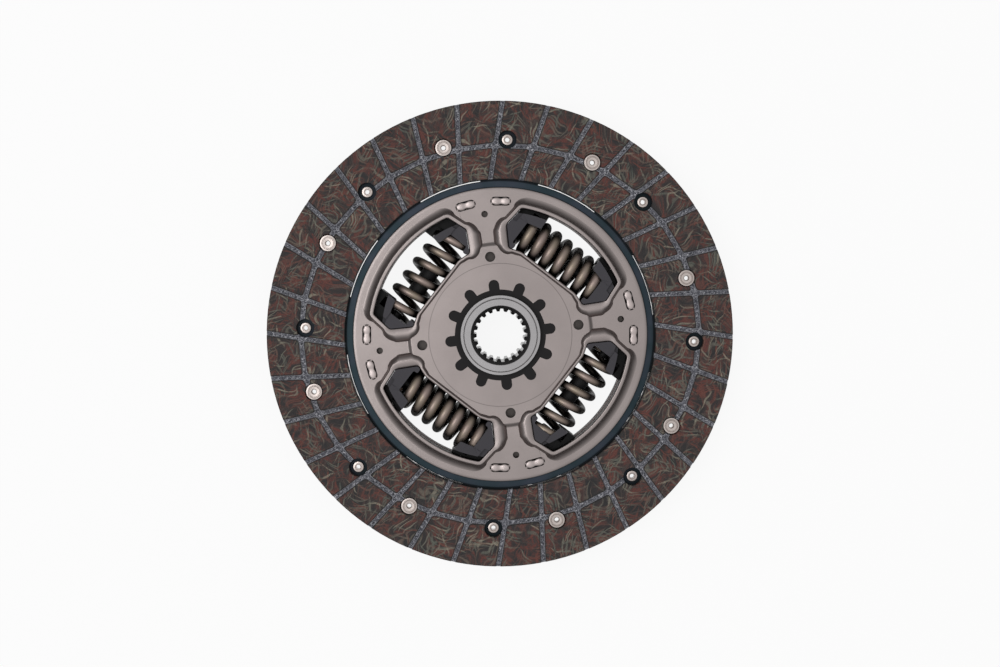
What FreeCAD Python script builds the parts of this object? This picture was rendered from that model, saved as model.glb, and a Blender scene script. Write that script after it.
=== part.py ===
import FreeCAD, Part
import math
import os

# Clutch disc lying on the rear end of its hub, flywheel side up. Millimetres, +Z up.
# The hub axis is Z, and z = 0 is the hub's rear end face. The spring windows are centred on
# +X, +Y, -X and -Y: the heavy springs lie on X, the light ones on Y.
# Counter-clockwise, seen from the front, is the direction in which the engine drives.

# Friction ring
disc_diameter = 228.0
facing_thickness = 3.6
groove_count = 32
groove_width = 2.2
groove_depth = 0.9
groove_offset = 16.6
groove_start_angle = -5.1
ring_groove_width = 2.3
ring_groove_swing = 2.45
ring_groove_turn = -47.5
block_corner_radius = 1.6

# Cushion plate
cushion_thickness = 0.8
cushion_show = 3.05
see_through_gap = 1.05
paddle_count = 8
paddle_inset = 2.5
paddle_slot_width = 2.4
neck_slot_width = 2.45

# Facing rivets
rivet_inset = 19.2
rivet_spread_angle = 9.5
counterbore_diameter = 9.0
counterbore_floor = 1.4
rivet_head_diameter = 8.2
rivet_head_height = 1.1
rivet_shank_diameter = 4.5
rivet_bore_diameter = 2.2
rivet_swage_diameter = 5.6
rivet_swage_height = 0.9
rivet_fit = 0.05

# Levels
spring_plane_height = 14.0
flange_thickness = 5.5
flange_side_gap = 0.85
plate_thickness = 2.6
lip_height = 3.0
front_pressing = 1.2
rear_pressing = 2.6
pressing_radius = 44.0

# Spring windows
window_count = 4
spring_circle_radius = 47.2
window_half_length = 30.2
window_wall_lean = 5.0
window_outer_rise = 16.4
window_shoulder_drop = 2.6
window_toe_drop = 10.8
window_toe_half_length = 22.7
window_chord_drop = 8.7
window_chord_half_length = 16.5
window_corner_radius = 1.6
lip_crest_width = 1.1
lip_arc_width = 4.4
lip_wall_width = 2.0
lip_shoulder_width = 6.0
lip_shoulder_crest = 3.4
lip_chord_width = 1.8
lip_edge_radius = 0.5

# Retainer plates
lug_wall = 0.4
lug_length = 9.2
lug_spread_angle = 7.6
lug_shoulder = 1.2
lug_fit = 0.1
stake_length = 2.6
stake_width = 3.7
stake_height = 0.8
rim_width = 5.4
rim_bevel = 1.2
spoke_hole_diameter = 5.0
spoke_hole_inset = 5.5
pin_hole_diameter = 3.2
pin_hole_inset = 4.1

# Springs and their seats
heavy_spring_diameter = 20.4
heavy_wire = 4.2
heavy_spring_length = 43.0
heavy_pitch = 6.45
heavy_hood_length = 6.5
heavy_hood_edge = 7.1
light_spring_diameter = 17.8
light_wire = 3.45
light_spring_length = 48.0
light_pitch = 8.1
light_hood_length = 6.2
light_hood_edge = 3.6
spring_end_gap = 0.1
spring_side_gap = 0.5
seat_fit = 0.05
seat_rim_gap = 0.6
seat_height_drop = 0.6
seat_bottom_gap = 0.4
hood_step_width = 2.2
hood_step_drop = 3.0
nose_diameter = 5.7
drive_angle = 9.0
coast_angle = 8.0
nose_end_gap = 0.15

# Hub
hub_length = 26.0
barrel_diameter = 38.8
hub_nose_diameter = 36.2
hub_nose_length = 1.6
hub_chamfer = 1.6
spline_count = 21
spline_major_diameter = 26.0
spline_minor_diameter = 23.2
hub_tooth_count = 24
hub_tooth_root_diameter = 43.0
hub_tooth_height = 2.2
tooth_fit = 0.05
flange_radius_margin = 3.0

# Friction parts round the hub
running_clearance = 0.06
bush_wall = 2.8
bush_tab_count = 12
bush_tab_width = 5.0
bush_tab_reach = 4.8
bush_tab_start_angle = 15.0
bush_fit = 0.1
bush_flange_radius = 34.0
friction_ring_thickness = 1.2
support_washer_thickness = 0.6
diaphragm_thickness = 0.5

# Radii, from the spring circle outwards
window_outer_radius = spring_circle_radius + window_outer_rise
lug_circle_radius = window_outer_radius + lug_wall + plate_thickness / 2
rear_plate_radius = lug_circle_radius + plate_thickness / 2
front_plate_radius = rear_plate_radius + rim_width
cushion_ring_radius = front_plate_radius + cushion_show
facing_inner_radius = cushion_ring_radius + see_through_gap
facing_outer_radius = disc_diameter / 2
paddle_radius = facing_outer_radius - paddle_inset
rivet_circle_radius = facing_inner_radius + rivet_inset
flange_radius = window_outer_radius - flange_radius_margin
barrel_radius = barrel_diameter / 2
bush_inner_radius = barrel_radius + running_clearance
plate_bore_radius = bush_inner_radius + bush_wall

# Levels, from the floor upwards
flange_bottom = spring_plane_height - flange_thickness / 2
flange_top = spring_plane_height + flange_thickness / 2
front_under = flange_top + flange_side_gap
cushion_bottom = front_under - cushion_thickness
seat_swing = math.tan(math.radians((drive_angle + coast_angle) / 2))
nose_half_gap = (spring_circle_radius + nose_diameter / 2) * seat_swing + nose_end_gap

up = FreeCAD.Vector(0, 0, 1)
origin = FreeCAD.Vector(0, 0, 0)


def save(name, shape):
    shape.exportStep("parts/" + name + ".step")


def polar(radius, angle, z=0.0):
    turn = math.radians(angle)
    return FreeCAD.Vector(radius * math.cos(turn), radius * math.sin(turn), z)


def slab(corners, low, high):
    # Straight-sided slab standing on a closed outline of (x, y) corners
    points = [FreeCAD.Vector(x, y, low) for x, y in corners]
    face = Part.Face(Part.makePolygon(points + points[:1]))
    return face.extrude(FreeCAD.Vector(0, 0, high - low))


def washer(outer_radius, inner_radius, low, high):
    outside = Part.makeCylinder(outer_radius, high - low, FreeCAD.Vector(0, 0, low))
    inside = Part.makeCylinder(inner_radius, high - low, FreeCAD.Vector(0, 0, low))
    return outside.cut(inside)


def turned(section):
    # Solid of revolution of a closed (radius, height) section
    points = [FreeCAD.Vector(radius, 0, height) for radius, height in section]
    face = Part.Face(Part.makePolygon(points + points[:1]))
    return face.revolve(origin, up, 360)


def rotated(shape, angle):
    copy = shape.copy()
    copy.rotate(origin, up, angle)
    return copy


def circled(shape, count, start_angle=0.0):
    return [rotated(shape, start_angle + 360.0 * k / count) for k in range(count)]


def turned_over(shape, level):
    # The same piece seen from the other side: half a turn about the line y = 0, z = level
    copy = shape.copy()
    copy.rotate(FreeCAD.Vector(0, 0, level), FreeCAD.Vector(1, 0, 0), 180)
    return copy


def upright_edges(shape, length, keep):
    # Edges parallel to the axis, as long as given, at places that keep(radius) accepts
    found = []
    for edge in shape.Edges:
        first = edge.Vertexes[0].Point
        last = edge.Vertexes[-1].Point
        flat = math.hypot(first.x - last.x, first.y - last.y)
        if flat > 1e-6 or abs(edge.Length - length) > 1e-6:
            continue
        if keep(math.hypot(first.x, first.y)):
            found.append(edge)
    return found


def shifted(corners, shifts):
    # Moves each side of a closed outline outwards (to the right of its direction) by its own shift
    lines = []
    for k, (x, y) in enumerate(corners):
        next_x, next_y = corners[(k + 1) % len(corners)]
        length = math.hypot(next_x - x, next_y - y)
        along = ((next_x - x) / length, (next_y - y) / length)
        normal = (along[1], -along[0])
        start = (x + normal[0] * shifts[k], y + normal[1] * shifts[k])
        lines.append((start, along))
    moved = []
    for k, (start, along) in enumerate(lines):
        before, before_along = lines[k - 1]
        cross = before_along[0] * along[1] - before_along[1] * along[0]
        gap = (start[0] - before[0], start[1] - before[1])
        reach = (gap[0] * along[1] - gap[1] * along[0]) / cross
        moved.append((before[0] + before_along[0] * reach, before[1] + before_along[1] * reach))
    return moved


def wall_half_length(distance):
    # Half-length of a window at a distance from the hub axis: its end walls lean inwards
    lean = math.tan(math.radians(window_wall_lean))
    return window_half_length - (distance - spring_circle_radius) * lean


def window_corners():
    # Window on +X, counter-clockwise, run out past its outer arc: chord, toes, shoulders, walls
    shoulder = spring_circle_radius - window_shoulder_drop
    toe = spring_circle_radius - window_toe_drop
    chord = spring_circle_radius - window_chord_drop
    beyond = front_plate_radius
    right = [
        (beyond, wall_half_length(beyond)),
        (shoulder, wall_half_length(shoulder)),
        (toe, window_toe_half_length),
        (chord, window_chord_half_length),
    ]
    return right + [(x, -y) for x, y in reversed(right)]


def window_prism(low, high):
    # The through hole of one window, with rounded corners and its outer side on an arc
    prism = slab(window_corners(), low, high)
    inside = Part.makeCylinder(window_outer_radius, high - low, FreeCAD.Vector(0, 0, low))
    hole = prism.common(inside)
    corners = upright_edges(hole, high - low, lambda radius: radius > 0)
    return hole.makeFillet(window_corner_radius, corners)


def window_lip(foot_level, crest_level):
    # Raised edge round one window: wide at its foot, narrow at its crest
    foot_shifts = [lip_wall_width, lip_shoulder_width, lip_chord_width]
    crest_shifts = [lip_crest_width, lip_shoulder_crest, lip_crest_width]
    feet = foot_shifts + [lip_chord_width] + foot_shifts[::-1] + [0.0]
    crests = crest_shifts + [lip_crest_width] + crest_shifts[::-1] + [0.0]
    wires = []
    for shifts, level in ((feet, foot_level), (crests, crest_level)):
        points = [FreeCAD.Vector(x, y, level) for x, y in shifted(window_corners(), shifts)]
        wires.append(Part.makePolygon(points + points[:1]))
    body = Part.makeLoft(wires, True, True)
    height = crest_level - foot_level
    foot_radius = window_outer_radius + lip_arc_width
    crest_radius = window_outer_radius + lip_crest_width
    cone = Part.makeCone(foot_radius, crest_radius, height, FreeCAD.Vector(0, 0, foot_level))
    return body.common(cone)


def spring_relief():
    # Space of the springs in the windows, taken out of the plates' inner edges
    cuts = []
    for k in range(window_count):
        diameter, length = spring_sizes(k)[1:4:2]
        start = FreeCAD.Vector(spring_circle_radius, -length / 2, spring_plane_height)
        radius = diameter / 2 + spring_side_gap
        cylinder = Part.makeCylinder(radius, length, start, FreeCAD.Vector(0, 1, 0))
        cuts.append(rotated(cylinder, 90.0 * k))
    return cuts


def pressed_plate(radius, pressing):
    # Flat rim with its middle pressed outwards and four lipped windows
    under = front_under
    top = under + plate_thickness
    slope_radius = pressing_radius + pressing
    section = [
        (plate_bore_radius, under + pressing),
        (pressing_radius - plate_thickness / 2, under + pressing),
        (slope_radius - plate_thickness / 2, under),
        (radius, under),
        (radius, top - rim_bevel / 2),
        (radius - rim_bevel, top),
        (slope_radius, top),
        (pressing_radius, top + pressing),
        (plate_bore_radius, top + pressing),
    ]
    plate = turned(section)
    limit = Part.makeCylinder(radius - rim_bevel, 4 * lip_height, FreeCAD.Vector(0, 0, under))
    lips = circled(window_lip(top, top + lip_height).common(limit), window_count)
    plate = plate.fuse(lips)
    plate = plate.cut(circled(window_prism(under - 1, top + lip_height + pressing), window_count))
    crest = top + lip_height
    edges = [edge for edge in plate.Edges if min(v.Point.z for v in edge.Vertexes) > crest - 1e-6]
    plate = plate.makeFillet(lip_edge_radius, edges)
    return plate.cut(spring_relief()).removeSplitter()


def lug_angles():
    return [
        360.0 * (k + 0.5) / window_count + side * lug_spread_angle
        for k in range(window_count)
        for side in (-1, 1)
    ]


def lug_block(length, width, low, high):
    # Upright block across the lug circle on +X
    corner = FreeCAD.Vector(lug_circle_radius - width / 2, -length / 2, low)
    return Part.makeBox(width, length, high - low, corner)


def spoke_holes(low, high):
    # One large and one small hole on each spoke between the windows
    holes = []
    outer_place = flange_radius - pin_hole_inset + flange_radius_margin
    inner_place = pressing_radius - spoke_hole_inset
    for place, diameter in ((outer_place, pin_hole_diameter), (inner_place, spoke_hole_diameter)):
        base = FreeCAD.Vector(place, 0, low)
        holes.append(Part.makeCylinder(diameter / 2, high - low, base))
    return Part.makeCompound(holes)


def bush_tab(width, reach, low, high):
    # Round-ended tab on +X
    length = plate_bore_radius + reach - width / 2
    bar = Part.makeBox(length, width, high - low, FreeCAD.Vector(0, -width / 2, low))
    end = Part.makeCylinder(width / 2, high - low, FreeCAD.Vector(length, 0, low))
    keep_off = Part.makeCylinder(bush_inner_radius, high - low, FreeCAD.Vector(0, 0, low))
    return bar.fuse(end).cut(keep_off)


def front_retainer_plate():
    plate = pressed_plate(front_plate_radius, front_pressing)
    low = front_under - 1
    high = front_under + plate_thickness + lip_height + front_pressing
    slot = lug_block(lug_length + 2 * lug_fit, plate_thickness + 2 * lug_fit, low, high)
    cuts = [rotated(slot, angle) for angle in lug_angles()]
    cuts += circled(spoke_holes(low, high), window_count, 180.0 / window_count)
    notch = bush_tab(bush_tab_width + 2 * bush_fit, bush_tab_reach + bush_fit, low, high)
    cuts += circled(notch, bush_tab_count, bush_tab_start_angle)
    return plate.cut(cuts)


def lug():
    # Tab bent up from the rear plate's edge: shouldered under the cushion plate, staked on top
    low = 2 * spring_plane_height - front_under - plate_thickness
    top = front_under + plate_thickness
    wide = lug_block(lug_length + 2 * lug_shoulder, plate_thickness, low, cushion_bottom)
    tongue = lug_block(lug_length, plate_thickness, cushion_bottom, top)
    pieces = [tongue]
    for side in (-1, 1):
        stake = lug_block(stake_length, stake_width, top, top + stake_height)
        stake.translate(FreeCAD.Vector(0, side * (lug_length - stake_length) / 2, 0))
        pieces.append(stake)
    bridge_height = top + stake_height / 2
    pieces.append(lug_block(lug_length, plate_thickness, top, bridge_height))
    return wide.fuse(pieces).removeSplitter()


def rear_retainer_plate():
    plate = turned_over(pressed_plate(rear_plate_radius, rear_pressing), spring_plane_height)
    return plate.fuse([rotated(lug(), angle) for angle in lug_angles()]).removeSplitter()


def ring_groove_radius(angle):
    # The ring groove is slightly oval
    middle = (facing_inner_radius + facing_outer_radius) / 2
    return middle + ring_groove_swing * math.cos(2 * math.radians(angle - ring_groove_turn))


def groove_crossing(k, offset):
    # Where groove k meets the ring groove's edge line, which lies offset from its middle
    start = groove_start_angle + 360.0 * k / groove_count
    radius = ring_groove_radius(start)
    angle = start
    for _ in range(3):
        angle = start + math.degrees(math.asin(groove_offset / radius))
        radius = ring_groove_radius(angle) + offset
    return polar(radius, angle)


def facing_grooves(top):
    # Straight slanting grooves, and one ring groove that is straight from groove to groove
    low = top - groove_depth
    bottom = FreeCAD.Vector(facing_inner_radius / 2, groove_offset - groove_width / 2, low)
    straight = Part.makeBox(facing_outer_radius, groove_width, groove_depth, bottom)
    grooves = circled(straight, groove_count, groove_start_angle)
    outlines = []
    for offset in (ring_groove_width / 2, -ring_groove_width / 2):
        points = [groove_crossing(k, offset) for k in range(groove_count)]
        outlines.append(slab([(p.x, p.y) for p in points], low, top))
    grooves.append(outlines[0].cut(outlines[1]))
    return grooves


def front_facing():
    # Grooved ring with eight counterbored rivet holes and eight clear holes for swaged ends
    low = front_under
    top = low + facing_thickness
    ring = washer(facing_outer_radius, facing_inner_radius, low, top)
    ring = ring.cut(facing_grooves(top))
    lowest = facing_inner_radius + block_corner_radius / 4
    highest = facing_outer_radius - block_corner_radius / 4
    corners = upright_edges(ring, groove_depth, lambda radius: lowest < radius < highest)
    ring = ring.makeFillet(block_corner_radius, corners)
    cuts = []
    counterbore = FreeCAD.Vector(rivet_circle_radius, 0, low + counterbore_floor)
    wide = Part.makeCylinder(counterbore_diameter / 2, facing_thickness, counterbore)
    through = FreeCAD.Vector(rivet_circle_radius, 0, low)
    narrow = Part.makeCylinder(rivet_shank_diameter / 2 + rivet_fit, facing_thickness, through)
    clear = Part.makeCylinder(counterbore_diameter / 2, facing_thickness, through)
    cuts += circled(wide.fuse(narrow), paddle_count, rivet_spread_angle)
    cuts += circled(clear, paddle_count, -rivet_spread_angle)
    return ring.cut(cuts)


def friction_level():
    # Middle of the cushion plate, about which the two facings are turned over
    return cushion_bottom + cushion_thickness / 2


def cushion_plate():
    # Spring steel ring with eight paddles, each on one neck, notched for the lugs
    low = cushion_bottom
    high = front_under
    inner_radius = window_outer_radius + lug_wall
    plate = washer(paddle_radius, inner_radius, low, high)
    half_pitch = 180.0 / paddle_count
    slot_low = FreeCAD.Vector(cushion_ring_radius, -paddle_slot_width / 2, low)
    between = Part.makeBox(paddle_radius, paddle_slot_width, high - low, slot_low)
    cuts = circled(between, paddle_count, half_pitch)
    neck_outer = cushion_ring_radius + neck_slot_width
    sector = washer(neck_outer, cushion_ring_radius, low, high)
    wedge = slab([(0, 0), (neck_outer * 2, 0), tuple(polar(neck_outer * 2, half_pitch))[:2]], low, high)
    cuts += circled(sector.common(wedge), paddle_count)
    notch = lug_block(lug_length + 2 * lug_fit, plate_thickness + 2 * lug_fit, low, high)
    cuts += [rotated(notch, angle) for angle in lug_angles()]
    place = FreeCAD.Vector(rivet_circle_radius, 0, low)
    hole = Part.makeCylinder(rivet_shank_diameter / 2 + rivet_fit, high - low, place)
    cuts += circled(hole, paddle_count, rivet_spread_angle)
    cuts += circled(hole, paddle_count, -rivet_spread_angle)
    return plate.cut(cuts)


def facing_rivet():
    # Hollow brass rivet: ringed head in the counterbore, end swaged on the far side of the plate
    seat = front_under + counterbore_floor
    head = rivet_head_diameter / 2
    bore = rivet_bore_diameter / 2
    shank = rivet_shank_diameter / 2
    swage = rivet_swage_diameter / 2
    section = [
        (bore, cushion_bottom - rivet_swage_height),
        (swage - 0.3, cushion_bottom - rivet_swage_height),
        (swage, cushion_bottom),
        (shank, cushion_bottom),
        (shank, seat),
        (head, seat),
        (head, seat + rivet_head_height / 2),
        ((head + shank) / 2, seat + rivet_head_height),
        (shank, seat + rivet_head_height),
        (bore, seat + rivet_head_height / 2),
    ]
    rivet = turned(section)
    rivet.translate(FreeCAD.Vector(rivet_circle_radius, 0, 0))
    return rivet


def facing_rivets():
    return Part.makeCompound(circled(facing_rivet(), paddle_count, rivet_spread_angle))


def coil_spring(diameter, wire, length, pitch):
    # Round-wire compression spring along Y on +X, its ends ground flat
    mean_radius = (diameter - wire) / 2
    run_out = pitch / 2
    helix_length = length + 2 * run_out
    path = Part.makeLongHelix(pitch, helix_length, mean_radius, 0, False)
    start = path.Vertexes[0].Point
    circle = Part.Wire(Part.makeCircle(wire / 2, start, FreeCAD.Vector(0, 1, pitch / (2 * math.pi * mean_radius))))
    coil = Part.Wire(path.Edges).makePipeShell([circle], True, True)
    coil.translate(FreeCAD.Vector(0, 0, -helix_length / 2))
    block = Part.makeBox(2 * diameter, 2 * diameter, length, FreeCAD.Vector(-diameter, -diameter, -length / 2))
    coil = coil.common(block)
    coil.rotate(origin, FreeCAD.Vector(1, 0, 0), 90)
    coil.translate(FreeCAD.Vector(spring_circle_radius, 0, spring_plane_height))
    return coil


def spring_seat(diameter, length, hood_length, hood_edge):
    # Moulded seat at the +Y end of the window on +X: wedge, spring hood and nose
    face = length / 2 + spring_end_gap
    half_height = diameter / 2 - seat_height_drop
    low = spring_plane_height - half_height
    high = spring_plane_height + half_height
    outer_radius = window_outer_radius - seat_rim_gap
    bottom = spring_circle_radius - window_chord_drop + seat_bottom_gap
    shoulder = spring_circle_radius - window_shoulder_drop
    toe = spring_circle_radius - window_toe_drop
    rise = (bottom - toe) / (shoulder - toe)
    toe_length = window_toe_half_length + rise * (wall_half_length(shoulder) - window_toe_half_length)
    outline = [
        (outer_radius + 1, wall_half_length(outer_radius + 1)),
        (shoulder, wall_half_length(shoulder)),
        (bottom, toe_length),
        (bottom, face - hood_length),
        (outer_radius + 1, face - hood_length),
    ]
    outline = shifted(outline, [-seat_fit, -seat_fit, 0, 0, 0])
    block = slab(outline, low, high)
    corner = math.hypot(shoulder, wall_half_length(shoulder))
    edges = upright_edges(block, high - low, lambda radius: abs(radius - corner) < 5 * seat_fit)
    block = block.makeFillet(window_corner_radius, edges)
    rim = Part.makeCylinder(outer_radius, 2 * half_height, FreeCAD.Vector(0, 0, low))
    seat = block.common(rim)
    spring_axis = FreeCAD.Vector(spring_circle_radius, face - hood_length - 1, spring_plane_height)
    along = FreeCAD.Vector(0, 1, 0)
    hollow = Part.makeCylinder(diameter / 2 + spring_side_gap, hood_length + 1, spring_axis, along)
    below_hood = spring_circle_radius + hood_edge - bottom + 1
    clearance = Part.makeBox(
        below_hood, hood_length + 1, 2 * half_height + 2,
        FreeCAD.Vector(bottom - 1, face - hood_length - 1, low - 1))
    seat = seat.cut([hollow, clearance])
    for level in (low, high - hood_step_drop):
        shelf = washer(outer_radius + 1, outer_radius - hood_step_width, level, level + hood_step_drop)
        seat = seat.cut(shelf)
    nose_start = FreeCAD.Vector(spring_circle_radius, nose_half_gap, spring_plane_height)
    nose = Part.makeCylinder(nose_diameter / 2, face - nose_half_gap + 1, nose_start, along)
    return seat.fuse(nose).removeSplitter()


def spring_sizes(k):
    if k % 2 == 0:
        return "heavy", heavy_spring_diameter, heavy_wire, heavy_spring_length, heavy_pitch
    return "light", light_spring_diameter, light_wire, light_spring_length, light_pitch


def save_springs_and_seats():
    for k in range(window_count):
        kind, diameter, wire, length, pitch = spring_sizes(k)
        number = str(k // 2 + 1)
        spring = coil_spring(diameter, wire, length, pitch)
        save(kind + "_spring_" + number, rotated(spring, 90.0 * k))
        hood_length = heavy_hood_length if kind == "heavy" else light_hood_length
        hood_edge = heavy_hood_edge if kind == "heavy" else light_hood_edge
        seat = spring_seat(diameter, length, hood_length, hood_edge)
        other = seat.mirror(origin, FreeCAD.Vector(0, 1, 0))
        save(kind + "_coast_seat_" + number, rotated(seat, 90.0 * k))
        save(kind + "_drive_seat_" + number, rotated(other, 90.0 * k))


def toothed_slab(count, root_radius, tip_radius, low, high, widen=0.0):
    # Slab with straight-flanked teeth round its edge; widen grows it evenly for a matching hole
    corners = []
    for k in range(count):
        middle = 360.0 * k / count
        root_half = 360.0 / count * 0.32 + math.degrees(widen / root_radius)
        tip_half = 360.0 / count * 0.19 + math.degrees(widen / tip_radius)
        for radius, turn in (
            (root_radius, -root_half), (tip_radius, -tip_half), (tip_radius, tip_half), (root_radius, root_half),
        ):
            point = polar(radius + widen, middle + turn)
            corners.append((point.x, point.y))
    return slab(corners, low, high)


def hub_teeth(widen):
    root = hub_tooth_root_diameter / 2
    return toothed_slab(hub_tooth_count, root, root + hub_tooth_height, flange_bottom, flange_top, widen)


def spline_hub():
    # Turned barrel with a toothed collar and a splined bore
    nose = hub_nose_diameter / 2
    bore = spline_minor_diameter / 2
    mouth = spline_major_diameter / 2 + hub_chamfer
    depth = mouth - bore
    section = [
        (bore, depth),
        (mouth, 0),
        (barrel_radius - hub_chamfer, 0),
        (barrel_radius, hub_chamfer),
        (barrel_radius, hub_length - hub_nose_length),
        (nose, hub_length - hub_nose_length),
        (nose, hub_length - hub_nose_length / 3),
        (nose - hub_nose_length / 3, hub_length),
        (mouth, hub_length),
        (bore, hub_length - depth),
    ]
    hub = turned(section).fuse(hub_teeth(0.0).cut(Part.makeCylinder(bore, hub_length)))
    major = spline_major_diameter / 2
    spline = toothed_slab(spline_count, bore, major, 0, hub_length)
    return hub.cut(spline)


def hub_flange():
    # Stamped flange: toothed on to the hub, with four arms that push the spring seats
    disc = Part.makeCylinder(flange_radius, flange_thickness, FreeCAD.Vector(0, 0, flange_bottom))
    widest = max(heavy_spring_diameter, light_spring_diameter) / 2
    chord = spring_circle_radius - widest - spring_side_gap
    shoulder = spring_circle_radius - window_shoulder_drop
    toe = spring_circle_radius - window_toe_drop
    slope = (wall_half_length(shoulder) - window_toe_half_length) / (shoulder - toe)
    chord_half_length = window_toe_half_length - (toe - chord) * slope
    beyond = front_plate_radius
    right = [
        (beyond, wall_half_length(beyond)),
        (shoulder, wall_half_length(shoulder)),
        (chord, chord_half_length),
    ]
    corners = right + [(x, -y) for x, y in reversed(right)]
    opening = slab(corners, flange_bottom - 1, flange_top + 1)
    bottoms = upright_edges(opening, flange_thickness + 2, lambda radius: radius < shoulder)
    opening = opening.makeFillet(window_corner_radius, bottoms)
    cuts = circled(opening, window_count)
    cuts.append(hub_teeth(tooth_fit))
    return disc.cut(cuts)


def front_friction_bush():
    # Moulded bush: collar round the hub, tabs keyed into the front plate, flange under the plate
    top = front_under + plate_thickness + front_pressing
    collar = washer(plate_bore_radius - bush_fit, bush_inner_radius, flange_top, top)
    shelf = washer(bush_flange_radius, bush_inner_radius, flange_top, front_under + front_pressing)
    tab = bush_tab(bush_tab_width, bush_tab_reach, front_under + front_pressing, top)
    return shelf.fuse([collar] + circled(tab, bush_tab_count, bush_tab_start_angle)).removeSplitter()


def rear_friction_ring():
    # Moulded ring between the flange and the rear spring stack, with a collar round the hub
    low = flange_bottom - friction_ring_thickness
    rear_face = 2 * spring_plane_height - front_under - plate_thickness - rear_pressing
    collar = washer(plate_bore_radius - bush_fit, bush_inner_radius, rear_face, flange_bottom)
    shelf = washer(bush_flange_radius, bush_inner_radius, low, flange_bottom)
    return shelf.fuse(collar).removeSplitter()


def support_washer():
    high = flange_bottom - friction_ring_thickness
    return washer(bush_flange_radius, plate_bore_radius + bush_fit, high - support_washer_thickness, high)


def diaphragm_spring():
    # Coned spring washer between the support washer and the rear plate
    high = flange_bottom - friction_ring_thickness - support_washer_thickness
    low = 2 * spring_plane_height - front_under - rear_pressing
    inner = plate_bore_radius + bush_fit
    outer = bush_flange_radius
    section = [
        (inner, low),
        (inner + diaphragm_thickness, low),
        (outer, high - diaphragm_thickness),
        (outer, high),
        (outer - diaphragm_thickness, high),
        (inner, low + diaphragm_thickness),
    ]
    return turned(section)


os.makedirs("parts", exist_ok=True)
facing = front_facing()
save("front_facing", facing)
save("rear_facing", turned_over(facing, friction_level()))
save("cushion_plate", cushion_plate())
save("front_facing_rivets", facing_rivets())
save("rear_facing_rivets", turned_over(facing_rivets(), friction_level()))
save("front_retainer_plate", front_retainer_plate())
save("rear_retainer_plate", rear_retainer_plate())
save("front_friction_bush", front_friction_bush())
save("rear_friction_ring", rear_friction_ring())
save("support_washer", support_washer())
save("diaphragm_spring", diaphragm_spring())
save("hub_flange", hub_flange())
save("spline_hub", spline_hub())
save_springs_and_seats()
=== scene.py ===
import math
import bmesh
import bpy
import numpy as np
from mathutils import Matrix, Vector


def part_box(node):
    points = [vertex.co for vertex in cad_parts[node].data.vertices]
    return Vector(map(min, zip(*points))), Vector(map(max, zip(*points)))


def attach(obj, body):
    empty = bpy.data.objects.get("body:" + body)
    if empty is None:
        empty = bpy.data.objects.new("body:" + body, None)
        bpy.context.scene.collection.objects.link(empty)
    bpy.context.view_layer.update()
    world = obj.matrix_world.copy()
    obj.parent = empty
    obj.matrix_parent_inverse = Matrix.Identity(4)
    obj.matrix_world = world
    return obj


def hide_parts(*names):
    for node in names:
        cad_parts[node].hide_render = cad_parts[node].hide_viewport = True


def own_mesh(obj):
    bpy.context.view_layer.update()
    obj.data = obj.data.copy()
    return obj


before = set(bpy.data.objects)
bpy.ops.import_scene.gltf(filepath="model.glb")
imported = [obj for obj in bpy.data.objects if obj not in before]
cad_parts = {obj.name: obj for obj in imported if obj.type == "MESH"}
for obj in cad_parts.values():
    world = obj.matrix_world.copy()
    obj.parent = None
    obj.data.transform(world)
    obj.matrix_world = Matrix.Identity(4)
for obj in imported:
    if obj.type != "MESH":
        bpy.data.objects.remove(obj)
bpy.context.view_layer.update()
mm = 0.001
print("frame loaded")


def hexLinear(text):
    # sRGB hex to a linear colour: the lower part is a straight line, the rest a power of 2.4
    parts = np.array([int(text[i:i + 2], 16) for i in (1, 3, 5)]) / 255
    linear = np.where(parts <= 0.04045, parts / 12.92, ((parts + 0.055) / 1.055) ** 2.4)
    return (*linear.tolist(), 1.0)


def addNode(tree, kind, settings=None, inputs=None, out=0):
    # Adds a node, sets it, links or fills its inputs, and gives back one of its outputs. Settings
    # that are just a word are the node's operation
    node = tree.nodes.new("ShaderNode" + kind)
    if isinstance(settings, str):
        settings = {"operation": settings}
    for name, value in (settings or {}).items():
        if name == "stops":
            ramp = node.color_ramp.elements
            while len(ramp) < len(value):
                ramp.new(0.5)
            for stop, (place, colour) in zip(ramp, value):
                stop.position = place
                stop.color = hexLinear(colour)
        else:
            setattr(node, name, value)
    for name, value in (inputs or {}).items():
        if isinstance(value, bpy.types.NodeSocket):
            tree.links.new(value, node.inputs[name])
        else:
            node.inputs[name].default_value = value
    return node.outputs[out] if len(node.outputs) else node


def newMaterial(name):
    material = bpy.data.materials.new(name)
    material.use_nodes = True
    tree = material.node_tree
    tree.nodes.clear()
    coords = addNode(tree, "TexCoord", out="Object")
    scaled = addNode(tree, "VectorMath", "SCALE", {0: coords, "Scale": 1 / mm})
    return material, tree, scaled  # the coordinates are in millimetres


def finishMaterial(tree, inputs):
    shader = addNode(tree, "BsdfPrincipled", None, inputs)
    addNode(tree, "OutputMaterial", None, {"Surface": shader})


# Camera: over the disc, leaning a little towards the picture's upper left
photo = {
    "width": 1000,
    "height": 667,
    "discCentre": (500.4, 335.0),  # pixel where the middle of the friction face lies
    "mmPerPixel": 0.4889,
    "plusXAngle": 52.5,  # where the part's +X points in the picture, counter-clockwise from the right
    "lean": 2.8,
    "leanAngle": 113,  # where the camera leans to, in the same picture angle
    "distance": 820,
    "sensor": 36,
}


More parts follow.
